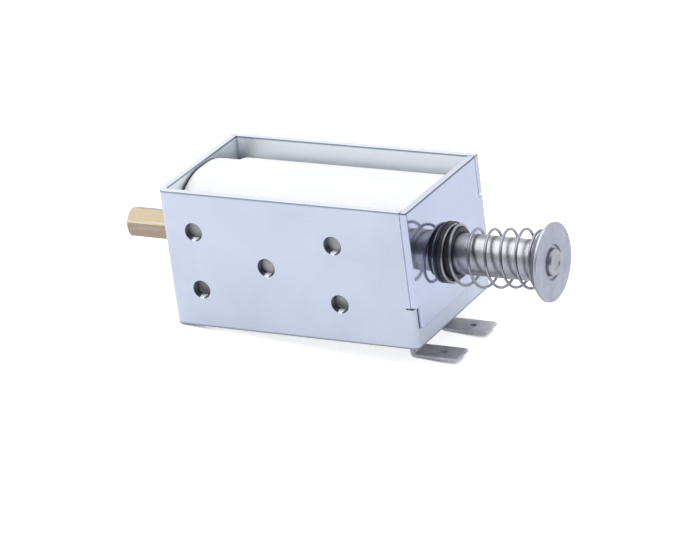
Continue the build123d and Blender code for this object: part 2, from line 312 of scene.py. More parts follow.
def span(tree, value, low, high, out_low, out_high, eased=False):
    """Maps a value from one span to another and clamps it."""
    return add_node(tree, "ShaderNodeMapRange", {1: low, 2: high, 3: out_low, 4: out_high}, {0: value},
                    interpolation_type="SMOOTHSTEP" if eased else "LINEAR", clamp=True).outputs[0]


def blend(tree, share, first, second, mode="MIX"):
    """Mixes two colours by a share; each is a socket or a colour."""
    made = add_node(tree, "ShaderNodeMix", data_type="RGBA", blend_type=mode)
    for index, item in ((6, first), (7, second)):
        if isinstance(item, tuple):
            made.inputs[index].default_value = item
        else:
            tree.links.new(item, made.inputs[index])
    if isinstance(share, float):
        made.inputs[0].default_value = share
    else:
        tree.links.new(share, made.inputs[0])
    return made.outputs[2]


def bump(tree, shader, height, depth, under=None):
    """Raises the surface by a height from 0 to 1 times a depth in metres."""
    links = {"Height": height}
    if under:
        links["Normal"] = under
    made = add_node(tree, "ShaderNodeBump", {"Distance": depth}, links)
    tree.links.new(made.outputs[0], shader.inputs["Normal"])
    return made.outputs[0]


def wear(obj, material):
    """Gives an object one material."""
    obj.data.materials.clear()
    obj.data.materials.append(material)


# %% [markdown]
# ## Zinc-plated sheet
# The frame is cold-rolled mild steel sheet, plated with bright zinc and given a blue passivation. The eye
# sees a pale blue metal whose highlights are soft, with faint streaks along the rolling direction. The
# sheared rims are pale and a little rough, with a painted dark reflection line along their rounded edges.
# The inner faces are painted paler as light, with painted shade where the coil or another wall stands
# close.

# %% Material of the folded frame
def painted_rim_line(tree, spot, low, high, reach):
    """1 along the sheared edges at two heights, on the upright faces and on their rounding, where a painted
    dark reflection line goes.
    """
    height = add_node(tree, "ShaderNodeSeparateXYZ", links={0: spot}).outputs[2]
    under_top = span(tree, height, high - reach, high - reach * 0.4, 0.0, 1.0, eased=True)
    over_foot = span(tree, height, low + reach * 0.4, low + reach, 1.0, 0.0, eased=True)
    return calc(tree, "MAXIMUM", under_top, over_foot)


def openness(tree, reach):
    """1 where nothing stands within reach of a surface, and less in gaps."""
    return add_node(tree, "ShaderNodeAmbientOcclusion", {"Distance": reach}, samples=8).outputs["AO"]


def painted_shade(tree, tone, reach, low, high, shade):
    """A tone that turns to a painted shade where other surfaces stand close by."""
    return blend(tree, span(tree, openness(tree, reach), low, high, 0.0, 1.0), colour(shade), tone)


def inner_faces(tree, spot, normal):
    """1 on the faces that look towards the coil's middle."""
    coil_middle = (6 * mm, axis.y, axis.z)
    away = add_node(tree, "ShaderNodeVectorMath", {1: coil_middle}, {0: spot}, operation="SUBTRACT")
    dot = add_node(tree, "ShaderNodeVectorMath", links={0: away.outputs[0], 1: normal},
                   operation="DOT_PRODUCT")
    return span(tree, dot.outputs["Value"], -4 * mm, -2 * mm, 1.0, 0.0)


def zinc_sheet(name, base, dull, line, rough, depth, metal):
    """Plated sheet: faint rolling streaks, soft stains, pale cut rims with a painted dark reflection line
    along them, and painted light and shade on the inner faces.
    """
    streak_width, grain_size, painted_line_reach = 0.5 * mm, 0.25 * mm, 0.7 * mm
    material, tree, shader = new_material(name, Metallic=metal)
    spot = place(tree)
    streaks = cloud(tree, place(tree, (14, 14, 1 / streak_width)), detail=3)
    stains = cloud(tree, place(tree, (45, 45, 45)), detail=4, roughness=0.6)
    grain = cloud(tree, spot, scale=1 / grain_size, detail=2)
    tone = blend(tree, span(tree, streaks, 0.3, 0.7, 0.0, 0.35), colour(base), colour(dull))
    tone = blend(tree, span(tree, stains, 0.4, 0.7, 0.0, 0.8), tone, colour(dull))
    facing = add_node(tree, "ShaderNodeNewGeometry")
    upright = add_node(tree, "ShaderNodeSeparateXYZ", links={0: facing.outputs["Normal"]}).outputs[2]
    lift = calc(tree, "ABSOLUTE", upright)
    # painted light and shade: the inner faces are painted paler, and painted shade darkens them where the
    # coil or another wall stands close
    inside = inner_faces(tree, spot, facing.outputs["Normal"])
    tone = blend(tree, inside, tone, painted_shade(tree, colour("#F0F5FA"), 5 * mm, 0.25, 0.7, "#A8B0BC"))
    # painted dark reflection: the line colour along the rims at both heights, and on their rounding where
    # the faces tilt
    tone = blend(tree, painted_rim_line(tree, spot, z_bottom, z_top, painted_line_reach), tone, colour(line))
    tone = blend(tree, span(tree, lift, 0.15, 0.35, 0.0, 1.0), tone, colour(line))
    rim = span(tree, lift, 0.85, 0.97, 0.0, 1.0)
    cut_grain = span(tree, grain, 0.35, 0.65, 0.0, 1.0)
    tone = blend(tree, rim, tone, blend(tree, cut_grain, colour("#DDE2EE"), colour("#D2D8E6")))
    tree.links.new(tone, shader.inputs["Base Color"])
    gloss = span(tree, stains, 0.3, 0.7, rough * 0.85, rough * 1.15)
    tree.links.new(calc(tree, "MULTIPLY_ADD", rim, 0.2, gloss), shader.inputs["Roughness"])
    first = bump(tree, shader, streaks, depth)
    bump(tree, shader, grain, depth, under=first)
    return material


# gives the eye a pale blue-grey metal that shows light and shade but no clear picture
# the third colour of each sheet is its painted dark reflection line along the rims
plated_sheet = zinc_sheet("zinc_plated_sheet", "#CFD5E3", "#C6CCDB", "#8F97A4", 0.36, 0.001 * mm, 0.8)
# gives the eye a clear mirror with a blue cast
bright_sheet = zinc_sheet("bright_zinc_plate", "#C5CADF", "#BBC3D5", "#666D7A", 0.07, 0.0002 * mm, 1.0)

# %% Materials of the cut threads
def cut_thread(name, first, second, rough):
    """Cut steel with a film of oil: two tones in fine rings; the tones given are painted shade or a painted
    glint.
    """
    material, tree, shader = new_material(name, Metallic=1.0, Roughness=rough)
    film = cloud(tree, place(tree), scale=1 / (0.4 * mm), detail=2)
    tree.links.new(blend(tree, film, colour(first), colour(second)), shader.inputs["Base Color"])
    return material


# gives the eye a dark hole: oiled bare thread, darkened further as painted shade inside the hole
thread_steel = cut_thread("oiled_thread_painted_shade", "#4E525A", "#6C7179", 0.45)
# gives the eye a painted glint at the hole's foot, a pale patch where light from above falls on the thread
thread_glint = cut_thread("painted_glint_thread", "#D4D9E2", "#E4E8EF", 0.5)

# %% [markdown]
# ## Tapped holes
# The front panel has five M5 holes. A thread is a groove that climbs one pitch in each turn. One pitch of
# the groove is drawn as a line, and the Screw modifier winds it up. Two cuts with a fill close the ends,
# and a cone at the outer face makes the lip that a countersink leaves. One cutter is made and copied to
# each hole. The groove is shallower than a full thread, so that it reads as fine rings.

# %% Thread cutter
drill_radius = 2.1
root_radius = 2.35
thread_pitch = 0.8
lip = 0.3
hole_spacing_x, hole_spacing_z = 38.6, 15.2
half_x, half_z = hole_spacing_x / 2, hole_spacing_z / 2
hole_places = [(-half_x, half_z), (half_x, half_z), (-half_x, -half_z), (half_x, -half_z), (0.0, 0.0)]


def thread_cutter():
    """A screw shape along Y through the front panel, at the origin."""
    start, outside, through = -2.4, -1.2, 3.0
    steps = [(drill_radius, 0.0), (drill_radius, 0.15), (root_radius, 0.45), (root_radius, 0.55),
             (drill_radius, thread_pitch)]
    points = [Vector((radius, start + rise, 0)) * mm for radius, rise in steps]
    obj = drawn_line("thread_cutter", points, closed=False)
    bpy.ops.object.mode_set(mode="OBJECT")
    modify(obj, "SCREW", axis="Y", angle=2 * math.pi, screw_offset=thread_pitch * mm, iterations=8,
           steps=40, render_steps=40, use_merge_vertices=True, merge_threshold=1e-6, use_smooth_shade=False)
    edit(obj)
    for place_y, clear_outer in ((outside * mm, False), (through * mm, True)):
        everything()
        bpy.ops.mesh.bisect(plane_co=(0, place_y, 0), plane_no=(0, 1, 0), use_fill=True,
                            clear_outer=clear_outer, clear_inner=not clear_outer, threshold=1e-7)
    clean(obj)
    return obj


def lip_cutter():
    """A cone at the outer face, a little wider than the thread's root."""
    reach = 1.0
    obj = primitive(bpy.ops.mesh.primitive_cone_add, "lip_cutter", vertices=64,
                    radius1=(drill_radius + lip + reach) * mm, radius2=drill_radius * mm,
                    depth=(lip + reach) * mm, rotation=(-math.pi / 2, 0, 0),
                    location=(0, (lip - reach) / 2 * mm, 0))
    freeze()
    return obj


def copies(obj, places):
    """Copies of an object, each with a mesh of its own, moved to the places."""
    made = []
    for spot in places:
        twin = obj.copy()
        twin.data = obj.data.copy()
        bpy.context.scene.collection.objects.link(twin)
        twin.data.transform(Matrix.Translation(Vector(spot)))
        made.append(twin)
    bpy.data.objects.remove(obj, do_unlink=True)
    return made


# %% [markdown]
# ## Front frame
# The front panel and the left wall are one strip, folded once. At the right end the strip runs on as a low
# strap that passes under the end plate, and a short finger above it holds the plate's corner. The panel
# starts as a box. Cuts mark the heights of the strap and the finger, and faces are extruded to make the
# wall, the finger, the strap and the tongue. The cuts are then dissolved, because a fold that is wider than
# the sheet would run over them, and the folded corners are bevelled with many segments. The threads have
# a darker finish of their own, as painted shade in the holes, and a narrow part at their foot has a painted
# glint.

# %% Front frame
finger_height = 10.4 * mm
strap_height = 4.9 * mm
strap_inset = 1.0 * mm
tongue_height = 11.0 * mm
fold_radius = 2.4 * mm
strap_fold = 1.4 * mm
slit = 0.4 * mm
slit_reach = 1.2 * mm
slit_overlap = 0.04 * mm     # keeps the cutter's face off the finger's edge
# the painted glint's place below each hole's centre: its middle across in millimetres, and how fast it
# widens
foot_middle, foot_spread = -0.3, 0.27
seam = 0.12 * mm
rim_round = 0.25 * mm
x_strap = x_face - strap_inset
same_place = 0.02 * mm       # edges nearer than this count as being at one place


def upright_at(x, y):
    """A test for upright edges that stand at one place."""
    return lambda edge: all(max(abs(v.co.x - x), abs(v.co.y - y)) < same_place for v in edge.verts)


def make_front_frame():
    obj = block("front_frame_sheet", (x_left, 0, z_bottom), (x_right, sheet, z_top))
    edit(obj)
    slice_at((x_left + sheet, 0, 0), (1, 0, 0))
    tongue_low, tongue_high = axis.z - tongue_height / 2, axis.z + tongue_height / 2
    for height in (z_bottom + strap_height, z_bottom + finger_height, tongue_low, tongue_high):
        slice_at((0, 0, height), (0, 0, 1))
    slice_at((x_strap - sheet, 0, 0), (1, 0, 0))
    faces_facing(obj, (0, 1, 0), lambda p: p.x < x_left + sheet)
    push((0, y_back - 2 * sheet, 0))
    faces_facing(obj, (0, 1, 0), lambda p: p.x < x_left + sheet and tongue_low < p.z < tongue_high)
    push((0, sheet, 0))
    faces_facing(obj, (1, 0, 0), lambda p: p.x > x_right - mm and p.z < z_bottom + finger_height)
    push((x_strap - x_right, 0, 0))
    faces_facing(obj, (0, 1, 0), lambda p: p.x > x_strap - sheet and p.z < z_bottom + strap_height)
    push((0, y_back - sheet, 0))
    everything()
    bpy.ops.mesh.remove_doubles(threshold=1e-7)
    bpy.ops.mesh.dissolve_limited(angle_limit=math.radians(1))
    pick(obj, "EDGE", upright_at(x_left, 0))
    bpy.ops.mesh.bevel(offset=fold_radius, segments=24, affect="EDGES")
    pick(obj, "EDGE", upright_at(x_left + sheet, sheet))
    bpy.ops.mesh.bevel(offset=fold_radius - sheet, segments=8, affect="EDGES")
    pick(obj, "EDGE", upright_at(x_strap, 0))
    bpy.ops.mesh.bevel(offset=strap_fold, segments=16, affect="EDGES")
    for place_x in (-half_x / 2 * mm, half_x / 2 * mm):
        slice_at((place_x, 0, 0), (1, 0, 0))
    clean(obj)
    soften(obj, rim_round, clamp=False)
    finger_top = z_bottom + finger_height
    slot = block("slit_cutter", (x_right - slit_reach, -sheet, finger_top - slit_overlap),
                 (x_face + sheet, 2 * sheet, finger_top + slit))
    threads = copies(thread_cutter(), [(x * mm, 0, z * mm) for x, z in hole_places])
    lips = copies(lip_cutter(), [(x * mm, 0, z * mm) for x, z in hole_places])
    cut(obj, [slot] + threads + lips)
    smooth(obj)
    seat(obj, "coil_body", "plated_sheet", "front_frame")
    wear(obj, plated_sheet)
    obj.data.materials.append(thread_steel)
    obj.data.materials.append(thread_glint)
    # the thread walls take the darker thread finish, a painted shade, and a narrow part at each hole's foot
    # a painted glint
    for face in obj.data.polygons:
        spot = face.center / mm
        offsets = [Vector((spot.x - x, spot.z - z)) for x, z in hole_places]
        near = min(offsets, key=lambda offset: offset.length)
        if near.length < root_radius + lip and abs(face.normal.y) < 0.9:
            at_foot = near.y < 0 and abs(near.x - foot_middle) < foot_spread * abs(near.y)
            face.material_index = 2 if at_foot else 1


make_front_frame()

# %% [markdown]
# ## Back panel and end plate
# Both are flat blanks. The back panel has a finger at its upper right corner and a notch that the wall's
# tongue is pressed into. The plate is smaller by the two fingers' heights and a little play, and its hole
# holds the collar. Each starts as its plain middle and grows by extruding the faces beside the notches.

# %% Back panel
panel_corner = 0.8 * mm


def make_back_panel():
    notch = x_left + sheet + seam
    low, high = axis.z - tongue_height / 2 - seam, axis.z + tongue_height / 2 + seam
    strap_top, strap_left = z_bottom + strap_height + seam, x_strap - sheet - seam
    obj = block("back_panel_sheet", (notch, y_back - sheet, z_bottom), (strap_left, y_back, z_top))
    edit(obj)
    for height in (strap_top, low, high, z_top - finger_height):
        slice_at((0, 0, height), (0, 0, 1))
    faces_facing(obj, (1, 0, 0), lambda p: p.z > strap_top)
    push((x_right - strap_left, 0, 0))
    faces_facing(obj, (-1, 0, 0), lambda p: p.z < low or p.z > high)
    push((x_left - notch, 0, 0))
    faces_facing(obj, (1, 0, 0), lambda p: p.x > x_right - mm and p.z > z_top - finger_height)
    push((sheet, 0, 0))
    pick(obj, "EDGE", upright_at(x_left, y_back))
    bpy.ops.mesh.bevel(offset=panel_corner, segments=8, affect="EDGES")
    clean(obj)
    soften(obj, rim_round)
    seat(obj, "coil_body", "plated_sheet", "back_panel")
    wear(obj, plated_sheet)


make_back_panel()

# %% End plate
collar_hole = 6.22
plate_corner = 0.6 * mm


def make_end_plate():
    foot = z_bottom + strap_height + seam
    front_notch = z_bottom + finger_height + slit
    back_notch = z_top - finger_height - slit
    obj = block("end_plate_blank", (x_right, sheet + seam, foot), (x_face, y_back - sheet - seam, z_top))
    edit(obj)
    for height in (front_notch, back_notch):
        slice_at((0, 0, height), (0, 0, 1))
    faces_facing(obj, (0, -1, 0), lambda p: p.z > front_notch)
    push((0, -sheet - seam, 0))
    faces_facing(obj, (0, 1, 0), lambda p: p.z < back_notch)
    push((0, sheet + seam, 0))
    clean(obj)
    start, stop = x_right / mm - 1, x_face / mm + 1
    drill = turned("drill", [(start, 0), (start, collar_hole), (stop, collar_hole), (stop, 0)])
    cut(obj, [drill])
    edit(obj)
    pick(obj, "EDGE", upright_at(x_face, 0))
    bpy.ops.mesh.bevel(offset=plate_corner, segments=12, affect="EDGES")
    clean(obj)
    soften(obj, rim_round)
    seat(obj, "coil_body", "bright_plate", "end_plate")
    wear(obj, bright_sheet)


make_end_plate()

# %% [markdown]
# ## The taped coil
# The winding is round, but the tape over it is pulled tight against the panels, so its section is a square
# with very round corners. White woven insulating tape covers it in two layers. The outer layer stops short
# of the left end. Each layer is a box whose long edges are bevelled until the section is right. Its ends
# are opened, rings of cuts divide it, and the corners move a little by noise, as tape creases. Room for
# the strap and for the terminals is cut out last.

# %% Material of the tape
def woven_tape():
    """Bleached woven tape: matte, slightly fuzzy, with a fine plain weave, and painted shade in its gaps.
    """
    material, tree, shader = new_material("white_woven_tape", Roughness=0.82, Sheen_Weight=0.25, IOR=1.46)
    thread, warp_threads = 0.55 * mm, 184.0
    spot = add_node(tree, "ShaderNodeSeparateXYZ", links={0: place(tree, centre=axis)})
    weft = calc(tree, "SINE", calc(tree, "MULTIPLY", spot.outputs[0], 2 * math.pi / thread))
    angle = calc(tree, "ARCTAN2", spot.outputs[1], spot.outputs[2])
    warp = calc(tree, "SINE", calc(tree, "MULTIPLY", angle, warp_threads))
    weave = span(tree, calc(tree, "MULTIPLY", weft, warp), -1.0, 1.0, 0.0, 1.0)
    folds = cloud(tree, place(tree, (90, 200, 200)), detail=4)
    stain = cloud(tree, place(tree, (40, 40, 40)), detail=2)
    tone = blend(tree, weave, colour("#EEEEEB"), colour("#F8F8F6"))
    tone = blend(tree, span(tree, stain, 0.45, 0.75, 0.0, 0.5), tone, colour("#F0EEE8"))
    # painted shade: the tape darkens where the panels, the holes' walls or the coil's ends stand close
    tree.links.new(painted_shade(tree, tone, 3 * mm, 0.25, 0.75, "#8A8F97"), shader.inputs["Base Color"])
    first = bump(tree, shader, weave, 0.03 * mm)
    bump(tree, shader, folds, 0.12 * mm, under=first)
    return material


# gives the eye a bright white cloth, with a weave that only shows close up
white_tape = woven_tape()

# %% Two layers of tape
tab_thick = 0.8 * mm
window_play = 0.4 * mm
strap_play = 0.15 * mm
ring_width = 1.2 * mm
along, across = 70, 260      # creases per metre along the coil and round it
fray = 0.18 * mm


def terminal_window(node):
    """A box round one terminal's leg, wider by the window's play."""
    low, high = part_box(node)
    margin = Vector((window_play, window_play, 0))
    return block("window", low - margin, Vector((low.x + tab_thick, high.y, axis.z)) + margin)


def make_tape(node, name, corner, wall, crease):
    """One layer of tape over the coil, taken from its node's box."""
    low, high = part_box(node)
    obj = block(name, low, high)
    edit(obj)
    pick(obj, "EDGE", lambda e: abs((e.verts[0].co - e.verts[1].co).normalized().x) > 0.9)
    bpy.ops.mesh.bevel(offset=corner, segments=22, affect="EDGES")
    pick(obj, "FACE", lambda f: abs(f.normal.x) > 0.9)
    bpy.ops.mesh.delete(type="FACE")
    rings = round((high.x - low.x) / ring_width)
    for i in range(1, rings):
        slice_at((low.x + (high.x - low.x) * i / rings, 0, 0), (1, 0, 0))
    bpy.ops.object.mode_set(mode="OBJECT")
    obj.data.update()
    for vertex in obj.data.vertices:
        spot = Vector((vertex.co.x * along, vertex.co.y * across, vertex.co.z * across))
        ripple = (noise.noise(spot) - 0.6) / 2
        inward = Vector((0, axis.y - vertex.co.y, axis.z - vertex.co.z)).normalized()
        vertex.co -= inward * crease * ripple
        if vertex.co.x < low.x + 0.1 * mm:
            vertex.co.x += fray * (noise.noise(spot * 0.6) + 1) / 2
    modify(obj, "SOLIDIFY", thickness=wall, offset=-1)
    clean(obj)
    soften(obj, wall * 0.3, angle=50)
    strap_room = block("strap_room", (x_strap - sheet - strap_play, -sheet, z_bottom - sheet),
                       (x_face, y_back + sheet, z_bottom + strap_height + strap_play))
    cut(obj, [strap_room, terminal_window("front_terminal"), terminal_window("back_terminal")])
    smooth(obj)
    seat(obj, "coil_body", "white_tape", node)
    wear(obj, white_tape)


make_tape("inner_wrap", "inner_tape", 15.2 * mm, 0.9 * mm, 0.05 * mm)
make_tape("coil_wrap", "outer_tape", 13.9 * mm, 0.2 * mm, 0.08 * mm)

# %% [markdown]
# ## Plunger
# The plunger is turned from steel and plated. A shoulder carries the cap, and the thin end is staked over
# with a punch, which leaves a shallow dimple. The lathe leaves rings that are finer than the eye can part,
# but they draw the highlight out along the bar. The rings are drawn coarser here so that they show.

# %% Material of turned steel
def turned_steel(name, base, dull, rough, ring_pitch, depth):
    """Steel with fine turning rings across the coil's axis."""
    material, tree, shader = new_material(name, Metallic=1.0)
    rings = cloud(tree, place(tree, (1 / ring_pitch, 6, 6), axis), detail=3)
    scuffs = cloud(tree, place(tree, (60, 900, 900), axis), detail=4)
    tone = blend(tree, span(tree, rings, 0.35, 0.65, 0.0, 1.0), colour(base), colour(dull))
    tone = blend(tree, span(tree, scuffs, 0.55, 0.75, 0.0, 0.4), tone, colour("#C9C9CC"))
    tree.links.new(tone, shader.inputs["Base Color"])
    tree.links.new(span(tree, rings, 0.3, 0.7, rough - 0.05, rough + 0.08), shader.inputs["Roughness"])
    first = bump(tree, shader, rings, depth)
    bump(tree, shader, scuffs, depth * 0.5, under=first)
    return material


# gives the eye a grey bar with one bright band along it
bar_steel = turned_steel("turned_plated_steel", "#B4B4B9", "#A6A6AB", 0.3, 0.3 * mm, 0.002 * mm)

# %% Plunger
cap_low, cap_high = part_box("spring_cap")
rod_radius, bar_radius, spigot_radius, dimple_radius = 2.0, 5.0, 3.3, 2.0
seat_play = 0.02
shoulder = cap_low.x / mm + 1.2


def make_plunger():
    left, right = plunger_low.x / mm, plunger_high.x / mm
    bore, bore_depth = rod_radius + seat_play, 9.0
    obj = turned("plunger_bar", [
        (left + bore_depth, 0), (left + bore_depth, bore), (left, bore), (left, bar_radius - 0.5),
        (left + 0.5, bar_radius), (shoulder, bar_radius), (shoulder, spigot_radius),
        (right - 0.5, spigot_radius), (right, spigot_radius - 0.45), (right, dimple_radius),
        (right - 0.4, dimple_radius - 0.35), (right - 0.45, 0)
    ], steps=128)
    soften(obj, 0.08 * mm, angle=30)
    seat(obj, "plunger_group", "turned_steel", "plunger")
    wear(obj, bar_steel)


make_plunger()

# %% [markdown]
# ## Spring cap
# A steel disc, pressed to a cone behind and plated to a dull grey. Its face is flat with a shallow recess
# round the staked end, and a narrow cylinder rim. The profile is turned, and the rim is broken by a bevel.

# %% Spring cap
def dull_zinc(name, base, dull, rough):
    """Dull plated steel: grey, with soft mottling from the bath."""
    material, tree, shader = new_material(name, Metallic=1.0)
    mottle = cloud(tree, place(tree, (220, 220, 220)), detail=4)
    grain = cloud(tree, place(tree), scale=1 / (0.2 * mm), detail=2)
    tone = blend(tree, span(tree, mottle, 0.35, 0.65, 0.0, 1.0), colour(base), colour(dull))
    tree.links.new(tone, shader.inputs["Base Color"])
    tree.links.new(span(tree, mottle, 0.3, 0.7, rough - 0.05, rough + 0.06), shader.inputs["Roughness"])
    bump(tree, shader, grain, 0.004 * mm)
    return material


# gives the eye a flat bluish grey
cap_zinc = dull_zinc("dull_zinc_on_pressed_steel", "#B4B6C2", "#A8AAB6", 0.4)


def make_cap():
    rear, front = cap_low.x / mm, cap_high.x / mm
    step = front - 0.7
    neck, rim, recess = 7.6, 9.6, 4.3
    bore, seat_hole = bar_radius + seat_play, spigot_radius + seat_play
    obj = turned("pressed_cap", [
        (rear, bore), (rear, neck), (step, rim), (front, rim), (front, recess), (step, recess - 0.2),
        (step, seat_hole), (shoulder, seat_hole), (shoulder, bore)
    ], closed=True, steps=128)
    soften(obj, 0.12 * mm, angle=20, segments=3)
    seat(obj, "plunger_group", "cap_steel", "spring_cap")
    wear(obj, cap_zinc)


make_cap()

# %% [markdown]
# ## Guide collar
# A black nylon bush is pressed into the plate from outside. Its flange lies on the plate and its nose
# stands inside the spring. Moulded parts have rounded edges, and black nylon has a soft, greasy gloss.

# %% Guide collar
def moulded(name, base, rough, grain_size, depth):
    """A moulded plastic with a fine grain."""
    material, tree, shader = new_material(name, IOR=1.53)
    grain = cloud(tree, place(tree), scale=1 / grain_size, detail=3)
    drift = cloud(tree, place(tree, (150, 150, 150)), detail=2)
    lighter = tuple(min(1.0, c * 1.35) for c in colour(base)[:3]) + (1.0,)
    tree.links.new(blend(tree, span(tree, drift, 0.4, 0.7, 0.0, 0.5), colour(base), lighter),
                   shader.inputs["Base Color"])
    tree.links.new(span(tree, grain, 0.3, 0.7, rough - 0.06, rough + 0.08), shader.inputs["Roughness"])
    bump(tree, shader, grain, depth)
    return material


# gives the eye a soft black with a greasy edge light
black_nylon = moulded("moulded_black_nylon", "#2A2A31", 0.38, 0.3 * mm, 0.006 * mm)


def make_collar():
    low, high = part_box("guide_collar")
    tail, plate, flange, nose = low.x / mm, x_face / mm, x_face / mm + 0.9, high.x / mm
    bore, neck, brim = 5.08, 6.2, 7.5
    obj = turned("collar_moulding", [
        (tail, bore), (tail, neck), (plate, neck), (plate, brim), (flange, brim), (flange, neck),
        (nose, neck), (nose, bore)
    ], closed=True, steps=112)
    soften(obj, 0.22 * mm, angle=30, segments=3)
    seat(obj, "coil_body", "black_nylon", "guide_collar")
    wear(obj, black_nylon)


make_collar()

# %% [markdown]
# ## Return spring
# A compression spring is wound from round wire, its end turns are closed, and both ends are ground flat. A
# curve follows the wire: at each full turn it has a place along the axis, and the places lie close together
# at the ends. The turns are a little uneven, and the spring hangs low near the plate. The curve gets the
# wire's thickness, becomes a mesh, and two cuts grind the ends.

# %% Material of the wire
# gives the eye thin grey rings with a bright line on them
wire_steel = turned_steel("plated_spring_wire", "#A2A3AB", "#8E9098", 0.28, 0.5 * mm, 0.003 * mm)

# %% Return spring
wire_radius = 0.36
coil_radius = 7.0
# turns of the wire in degrees, each with the place along the axis that it has reached, in millimetres
wire_places = [
    (-380, 0.15), (-200, 0.35), (-23, 1.2), (157, 3.7), (337, 5.9), (517, 8.7), (697, 10.4), (877, 13.3),
    (1057, 14.6), (1237, 17.4), (1417, 18.9), (1597, 21.2), (1777, 22.9), (1938, 23.8), (2100, 23.9)
]
# places along the axis, each with the height of the spring's middle over the axis, in millimetres
sag_places = [
    (0.0, -0.2), (2.2, -0.3), (4.7, -0.8), (7.2, -0.8), (10.7, -0.5), (14.7, -0.1), (18.7, 0.3), (24.0, 0.3)
]
first_turn, last_turn, turn_step = -380, 1939, 7


def between(places, spot):
    """The value at a spot on a smooth line through places, given as (spot, value)."""
    index = max(i for i, (start, _) in enumerate(places[:-1]) if start <= spot or i == 0)
    (low, here), (high, there) = places[index], places[index + 1]
    before = places[index - 1] if index else (2 * low - high, 2 * here - there)
    after = places[index + 2] if index + 2 < len(places) else (2 * high - low, 2 * there - here)
    leave = (there - before[1]) / (high - before[0]) * (high - low)
    arrive = (after[1] - here) / (after[0] - low) * (high - low)
    t = (spot - low) / (high - low)
    return ((2 * t ** 3 - 3 * t ** 2 + 1) * here + (3 * t ** 2 - 2 * t ** 3) * there
            + (t ** 3 - 2 * t ** 2 + t) * leave + (t ** 3 - t ** 2) * arrive)


def make_spring():
    low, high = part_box("return_spring")
    points = []
    for degrees in range(first_turn, last_turn, turn_step):
        along = between(wire_places, degrees)
        angle = math.radians(degrees)
        points.append(Vector((low.x + along * mm, axis.y - coil_radius * mm * math.sin(angle),
                              axis.z + (coil_radius * math.cos(angle) + between(sag_places, along)) * mm)))
    line = bpy.data.curves.new("wound_spring", "CURVE")
    line.dimensions = "3D"
    wire = line.splines.new("POLY")
    wire.points.add(len(points) - 1)
    for knot, spot in zip(wire.points, points):
        knot.co = (*spot, 1)
    line.bevel_depth = wire_radius * mm
    line.bevel_resolution = 5
    line.use_fill_caps = True
    obj = bpy.data.objects.new("wound_spring", line)
    bpy.context.scene.collection.objects.link(obj)
    only(obj)
    bpy.ops.object.convert(target="MESH")
    obj = bpy.context.object
    clean(obj)
    edit(obj)
    for spot, outward in ((low.x, -1), (high.x, 1)):
        everything()
        bpy.ops.mesh.bisect(plane_co=(spot, 0, 0), plane_no=(outward, 0, 0), use_fill=True,
                            clear_outer=True, threshold=1e-7)
    clean(obj)
    smooth(obj, 50)
    seat(obj, "coil_body", "spring_steel", "return_spring")
    wear(obj, wire_steel)
    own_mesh(obj)


make_spring()

# %% [markdown]
# ## Push tip, nut and rod
# The tip is a length of drawn brass hexagon. Its free end is turned to a cone, which leaves the curved
# edges that every hexagon end has, so the bar is cut with a turned cone. The thin nut that locks it has
# the same edges on both sides. The rod between them and the plunger is plain and polished.

# %% Materials of brass and of the nut
# gives the eye a warm pale yellow on the upper flats and a brown grey below
brass_bar = turned_steel("drawn_brass", "#A59781", "#9C8E79", 0.36, 0.25 * mm, 0.001 * mm)
# gives the eye a cooler grey than the rod
nut_zinc = dull_zinc("zinc_plated_nut", "#B0B3BE", "#A0A3AE", 0.3)
# gives the eye a polished grey line
rod_steel = turned_steel("polished_rod_steel", "#B0B0B4", "#A2A2A7", 0.18, 0.3 * mm, 0.002 * mm)

# %% Hexagons
flats = 7.0
corner = flats / math.sqrt(3)
tip_turn, nut_turn = -19.0, -8.0
over, clear = 0.001, 0.02    # how far a cutter stands past an end and outside a corner


def hexagon(name, across_flats, low, high, turn):
    """A hexagonal bar along the coil's axis, turned on it by an angle in degrees."""
    obj = primitive(bpy.ops.mesh.primitive_cylinder_add, name, vertices=6,
                    radius=across_flats / math.sqrt(3) * mm, depth=(high - low) * mm,
                    rotation=(0, math.pi / 2, 0))
    freeze()
    obj.location = ((low + high) / 2 * mm, axis.y, axis.z)
    obj.rotation_euler = (math.radians(turn), 0, 0)
    freeze()
    return obj


def make_tip():
    low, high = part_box("push_tip")
    left, right = low.x / mm, high.x / mm
    start, stop = left - over, right + over
    obj = hexagon("hex_tip", flats, left, right, tip_turn)
    cone = turned("tip_cone", [
        (start, 0), (start, corner - 1.1), (left + 0.75, corner + clear), (right - 0.15, corner + clear),
        (stop, corner - 0.25), (stop, 0)
    ])
    cut(obj, [cone], "INTERSECT")
    drill = 1.6
    bore = turned("tip_bore", [
        (left - 1, 0), (left - 1, 2 * drill), (left + 0.6, drill), (left + 6, drill), (left + 7, 0)
    ])
    cut(obj, [bore])
    clean(obj)
    soften(obj, 0.1 * mm, angle=25)
    seat(obj, "plunger_group", "brass", "push_tip")
    wear(obj, brass_bar)


def make_nut():
    low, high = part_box("lock_nut")
    left, right = low.x / mm, high.x / mm
    start, stop = left - over, right + over
    obj = hexagon("thin_nut", flats, left, right, nut_turn)
    cone = turned("nut_cone", [
        (start, 0), (start, corner - 0.45), (left + 0.3, corner + clear), (right - 0.3, corner + clear),
        (stop, corner - 0.45), (stop, 0)
    ])
    cut(obj, [cone], "INTERSECT")
    hole, mouth = rod_radius + seat_play, rod_radius + 0.45
    bore = turned("nut_bore", [
        (left - 1, 0), (left - 1, hole), (right - 0.3, hole), (right + 0.1, mouth),
        (right + 1, mouth), (right + 1, 0)
    ])
    cut(obj, [bore])
    clean(obj)
    soften(obj, 0.06 * mm, angle=25)
    seat(obj, "plunger_group", "nut_steel", "lock_nut")
    wear(obj, nut_zinc)


make_tip()
make_nut()

